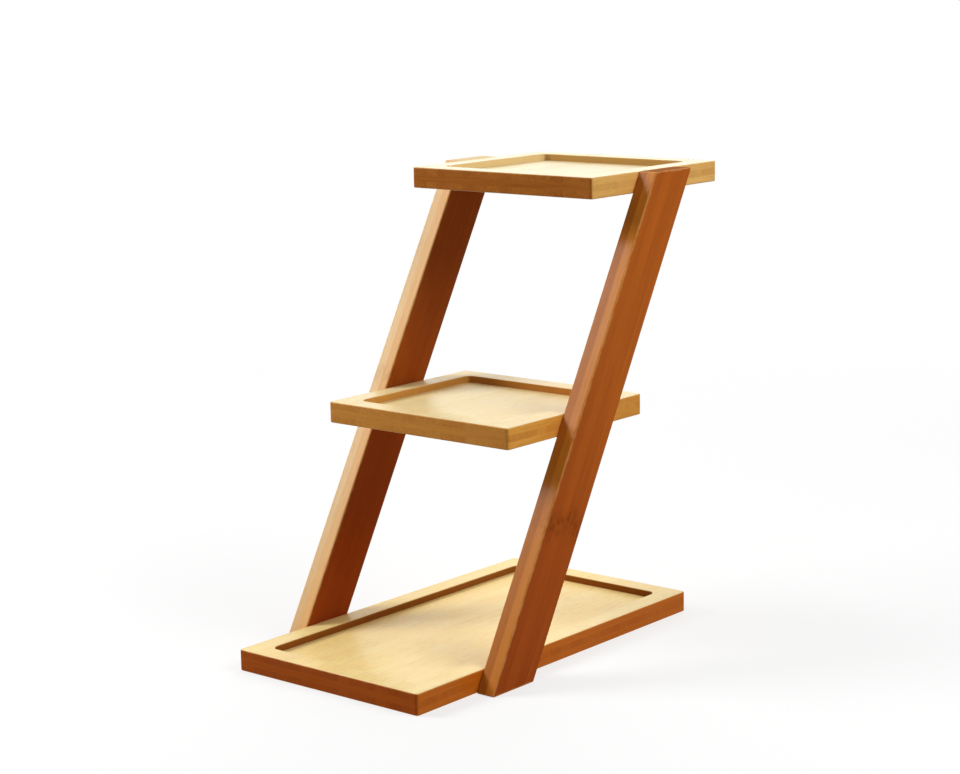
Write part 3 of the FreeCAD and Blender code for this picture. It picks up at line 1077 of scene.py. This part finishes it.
def mix_shaders(tree, factor, first, second):
    """The first shader where the factor is 0, and the second where it is 1."""
    made = tree.nodes.new("ShaderNodeMixShader")
    plug(tree, factor, made.inputs["Fac"])
    tree.links.new(first, made.inputs[1])
    tree.links.new(second, made.inputs[2])
    return made.outputs[0]


def lit_floor(tree, seen):
    """Matt grey that takes the shadow, made white to the eye by a glow."""
    matt = tree.nodes.new("ShaderNodeBsdfDiffuse")
    matt.inputs["Color"].default_value = (FLOOR_ALBEDO, FLOOR_ALBEDO, FLOOR_ALBEDO, 1.0)
    resting = maths(tree, "MULTIPLY", asked_by_a_resting_face(tree), CONTACT_GLOW)
    glow = maths(tree, "ADD", maths(tree, "MULTIPLY", seen, FLOOR_GLOW), resting)
    lit = tree.nodes.new("ShaderNodeAddShader")
    tree.links.new(matt.outputs[0], lit.inputs[0])
    tree.links.new(emission(tree, glow), lit.inputs[1])
    return lit.outputs[0]


def white_floor():
    """Matt floor, white further out, and clear from below so that the undersides can be seen."""
    material = bpy.data.materials.new("white_floor")
    material.use_nodes = True
    tree = material.node_tree
    tree.nodes.clear()
    seen = seen_directly(tree)
    source = tree.nodes.new("ShaderNodeTexCoord")
    away = vector_maths(tree, "LENGTH", source.outputs["Object"], output="Value")
    fade = maths(tree, "MULTIPLY", seen, ease(tree, away, SHADOW_REACH, BACKDROP_START))
    backdrop = mix_shaders(tree, fade, lit_floor(tree, seen), emission(tree, WHITE))
    side = tree.nodes.new("ShaderNodeNewGeometry")
    from_below = maths(tree, "MULTIPLY", seen, side.outputs["Backfacing"])
    clear = tree.nodes.new("ShaderNodeBsdfTransparent")
    floor = mix_shaders(tree, from_below, backdrop, clear.outputs[0])
    output = tree.nodes.new("ShaderNodeOutputMaterial")
    tree.links.new(floor, output.inputs["Surface"])
    return material


floor_material = white_floor()
print("the floor is white from", BACKDROP_START, "m outwards")

# %% [markdown]
# ### One square of floor
#
# A studio often has a curved sheet that runs up into a wall. Here the world stands for the
# wall, so one wide square is enough. It lies a hair below the stand, because two faces at
# the same height would flicker.

# %% Lay the floor
FLOOR_DROP = 0.1 * MM
# In metres.
FLOOR_REACH = 40.0


def lay_floor():
    """A flat square just under the stand."""
    mesh = bpy.data.meshes.new("studio_floor")
    grid = bmesh.new()
    bmesh.ops.create_grid(grid, x_segments=1, y_segments=1, size=FLOOR_REACH)
    bmesh.ops.translate(grid, verts=grid.verts, vec=(0.0, 0.0, -FLOOR_DROP))
    grid.to_mesh(mesh)
    grid.free()
    floor = bpy.data.objects.new("studio_floor", mesh)
    mesh.materials.append(floor_material)
    bpy.context.scene.collection.objects.link(floor)
    return floor


floor = lay_floor()
print(floor.name, "reaches", FLOOR_REACH, "m each way")

# %% [markdown]
# ## World
#
# Past the floor, the camera and reflections see the world. A picture of a studio would
# light the stand well, but no picture is needed for plain white. The world is white to the
# eye and to reflections, and as a light it is dim, so that it only opens up the shadows.

# %% White world
AMBIENT = 0.22


def white_world():
    """White to the eye and to reflections, moderate as a light."""
    world = bpy.data.worlds.new("studio_world")
    world.use_nodes = True
    tree = world.node_tree
    sky = next(n for n in tree.nodes if n.type == "BACKGROUND")
    sky.inputs["Color"].default_value = (1.0, 1.0, 1.0, 1.0)
    strength = mix(tree, seen_directly(tree), AMBIENT, WHITE, kind="FLOAT")
    plug(tree, strength, sky.inputs["Strength"])
    bpy.context.scene.world = world
    return world


world = white_world()
print(world.name, "lights at", AMBIENT)

# %% [markdown]
# ## Softboxes
#
# A softbox is a lamp behind a square of white cloth. Three of them hang well above the
# stand. The key is in front, to the left, and gives the narrow faces of the legs their
# highlights. The fill, on the right, shows the broad face of the near leg, and the one at
# the back lifts the far sides. Area lamps are used and not points or a sun, because their
# size is what makes the shadows soft. The view transform is Standard, so that a colour
# renders about as it is written.

# %% Hang the softboxes
# Places and sizes are in metres, and power is in watts.
LAMPS = {
    "key_softbox": {"place": (-0.98, -0.66, 0.95), "size": 0.65, "power": 15.0},
    "fill_softbox": {"place": (1.02, 0.22, 0.95), "size": 0.8, "power": 9.6},
    "back_softbox": {"place": (-0.55, 1.05, 0.95), "size": 0.9, "power": 6.4},
}


def hang_softbox(name, place, size, power):
    """A square area lamp aimed at the middle of the stand."""
    lamp = bpy.data.lights.new(name, "AREA")
    lamp.shape = "SQUARE"
    lamp.size = size
    lamp.energy = power
    softbox = bpy.data.objects.new(name, lamp)
    softbox.location = place
    softbox.rotation_euler = (Vector(place) - VIEW_TARGET).to_track_quat("Z", "Y").to_euler()
    bpy.context.scene.collection.objects.link(softbox)
    return softbox


for name, facts in LAMPS.items():
    softbox = hang_softbox(name, **facts)
    print(name, "gives", round(softbox.data.energy, 1), "W")

bpy.context.scene.view_settings.view_transform = "Standard"
